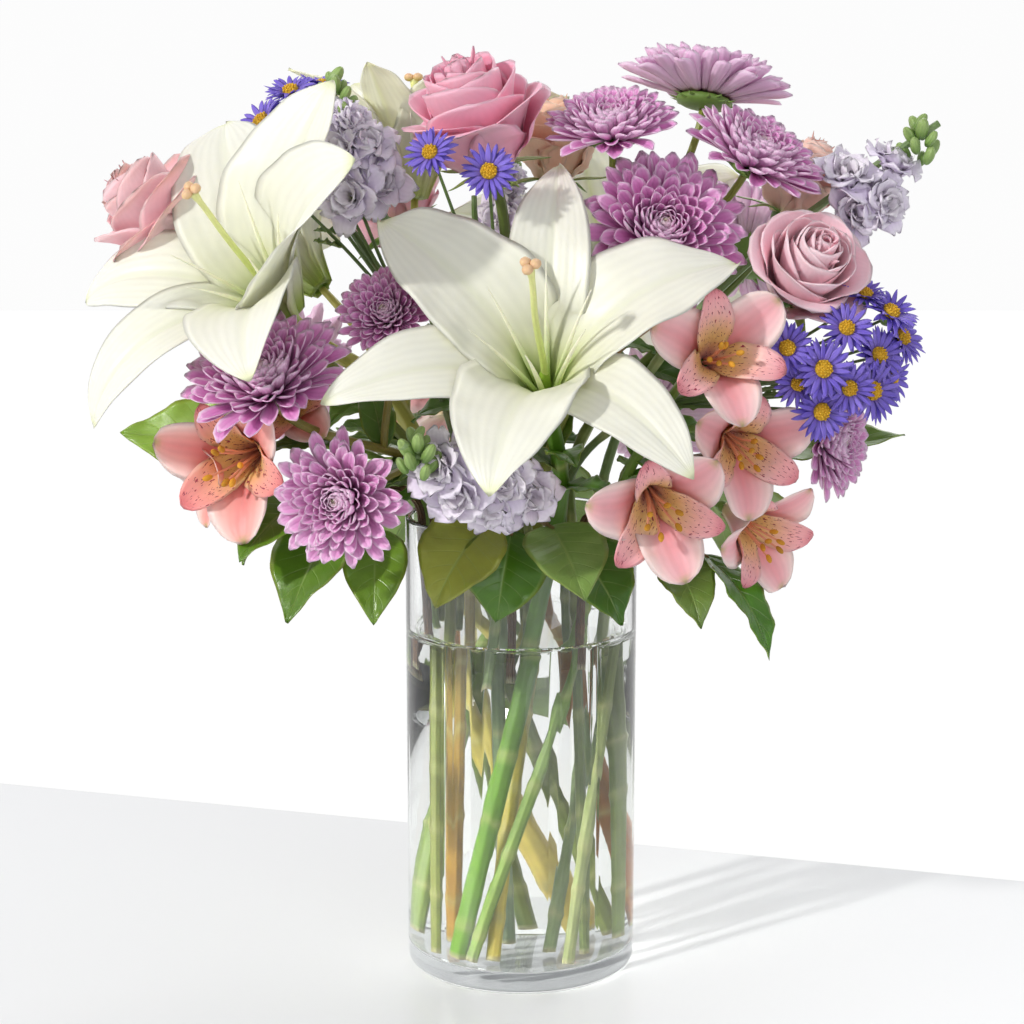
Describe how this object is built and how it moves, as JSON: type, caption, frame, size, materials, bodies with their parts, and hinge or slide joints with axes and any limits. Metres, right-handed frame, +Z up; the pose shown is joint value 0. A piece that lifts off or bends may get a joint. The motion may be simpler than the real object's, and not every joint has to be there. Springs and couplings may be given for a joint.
{
  "type": "vase of lilies",
  "caption": "Hand-tied mixed bouquet of white lilies, roses, chrysanthemums and filler flowers standing in water in a clear glass cylinder vase.",
  "frame": {"origin": "centre of the vase's flat underside, on the vase's axis", "axes": "+Z up along the vase's axis, -Y towards the front of the arrangement, where the large lily faces"},
  "size_m": [0.3528, 0.3421, 0.4175],
  "materials": {
    "clear_glass": "polished clear glass, no tint",
    "water": "clear still water",
    "cut_stem": "fresh green to brown bark, satin",
    "lily_petal": "waxy white petal with faint ribs",
    "rose_petal": "velvety pink petal",
    "chrysanthemum_petal": "matt mauve ray petals with paler edges",
    "alstroemeria_petal": "peach pink petal with a yellow throat and dark flecks",
    "stock_floret": "soft pale lavender petal",
    "aster_petal": "violet rays round a yellow disc",
    "salal_leaf": "leathery green leaf with a waxy gloss"
  },
  "bodies": {
    "root": {"alstro_back": "alstroemeria_petal", "alstro_left": "alstroemeria_petal", "alstro_lower": "alstroemeria_petal", "alstro_middle": "alstroemeria_petal", "alstro_side": "alstroemeria_petal", "alstro_upper": "alstroemeria_petal", "aster_middle": "aster_petal", "aster_right": "aster_petal", "aster_top_left": "aster_petal", "lily_back": "lily_petal", "lily_front": "lily_petal", "lily_left": "lily_petal", "lily_left_back": "lily_petal", "lily_top": "lily_petal", "mum_back_left": "chrysanthemum_petal", "mum_back_low": "chrysanthemum_petal", "mum_back_right": "chrysanthemum_petal", "mum_centre": "chrysanthemum_petal", "mum_left": "chrysanthemum_petal", "mum_lower_left": "chrysanthemum_petal", "mum_lower_right": "chrysanthemum_petal", "mum_middle": "chrysanthemum_petal", "mum_right": "chrysanthemum_petal", "mum_top_right": "chrysanthemum_petal", "mum_upper": "chrysanthemum_petal", "rose_back": "rose_petal", "rose_left": "rose_petal", "rose_right": "rose_petal", "rose_right_back": "rose_petal", "rose_top": "rose_petal", "rose_top_back": "rose_petal", "salal_back": "salal_leaf", "salal_back_left": "salal_leaf", "salal_back_right": "salal_leaf", "salal_front": "salal_leaf", "salal_left": "salal_leaf", "salal_right": "salal_leaf", "stem_alstro_back": "cut_stem", "stem_alstro_left": "cut_stem", "stem_alstro_right": "cut_stem", "stem_lily_back": "cut_stem", "stem_lily_front": "cut_stem", "stem_lily_left": "cut_stem", "stem_mum_back": "cut_stem", "stem_mum_back_left": "cut_stem", "stem_mum_left": "cut_stem", "stem_mum_right": "cut_stem", "stem_rose_back": "cut_stem", "stem_rose_left": "cut_stem", "stem_rose_right": "cut_stem", "stem_rose_right_back": "cut_stem", "stem_rose_top": "cut_stem", "stem_rose_top_back": "cut_stem", "stock_back": "stock_floret", "stock_front": "stock_floret", "stock_right": "stock_floret", "stock_top_left": "stock_floret", "vase": "clear_glass", "water": "water"}
  },
  "joints": []
}
